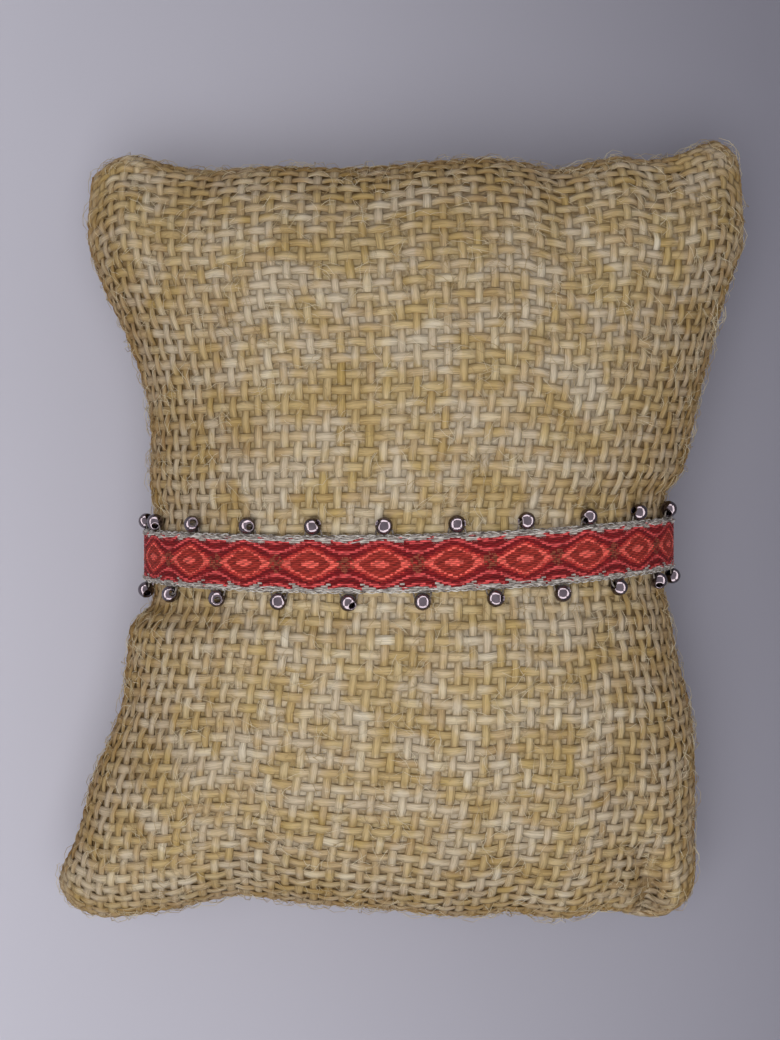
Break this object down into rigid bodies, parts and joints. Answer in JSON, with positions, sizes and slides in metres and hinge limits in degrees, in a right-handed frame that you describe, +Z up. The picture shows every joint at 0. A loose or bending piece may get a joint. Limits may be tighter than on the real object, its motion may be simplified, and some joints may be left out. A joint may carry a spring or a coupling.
{
  "type": "woven beaded bracelet on display pillow",
  "caption": "Thread-woven bracelet with small round metal beads along both edges, closed round a stuffed burlap display pillow.",
  "frame": {"origin": "on the surface that the pillow lies on, under the middle of the pillow's box", "axes": "+Z up out of the pillow's upper side, +Y along the pillow from its lower sewn end to its upper one, +X along the band's visible stretch, to the right in the picture"},
  "size_m": [0.0952, 0.1078, 0.0412],
  "materials": {
    "burlap": "coarse plain-woven jute, tan with paler, yellow and brown threads",
    "woven_thread": "tightly woven thread in dark red, red, coral and grey, in a nested diamond pattern",
    "bead_metal": "polished gunmetal",
    "clasp_steel": "satin"
  },
  "bodies": {
    "root": {"band": "woven_thread", "bead_lower_01": "bead_metal", "bead_lower_02": "bead_metal", "bead_lower_03": "bead_metal", "bead_lower_04": "bead_metal", "bead_lower_05": "bead_metal", "bead_lower_06": "bead_metal", "bead_lower_07": "bead_metal", "bead_lower_08": "bead_metal", "bead_lower_09": "bead_metal", "bead_lower_10": "bead_metal", "bead_lower_11": "bead_metal", "bead_lower_12": "bead_metal", "bead_lower_13": "bead_metal", "bead_lower_14": "bead_metal", "bead_lower_15": "bead_metal", "bead_lower_16": "bead_metal", "bead_lower_17": "bead_metal", "bead_lower_18": "bead_metal", "bead_lower_19": "bead_metal", "bead_upper_01": "bead_metal", "bead_upper_02": "bead_metal", "bead_upper_03": "bead_metal", "bead_upper_04": "bead_metal", "bead_upper_05": "bead_metal", "bead_upper_06": "bead_metal", "bead_upper_07": "bead_metal", "bead_upper_08": "bead_metal", "bead_upper_09": "bead_metal", "bead_upper_10": "bead_metal", "bead_upper_11": "bead_metal", "bead_upper_12": "bead_metal", "bead_upper_13": "bead_metal", "bead_upper_14": "bead_metal", "bead_upper_15": "bead_metal", "bead_upper_16": "bead_metal", "bead_upper_17": "bead_metal", "bead_upper_18": "bead_metal", "clasp": "clasp_steel", "pillow": "burlap"}
  },
  "joints": []
}
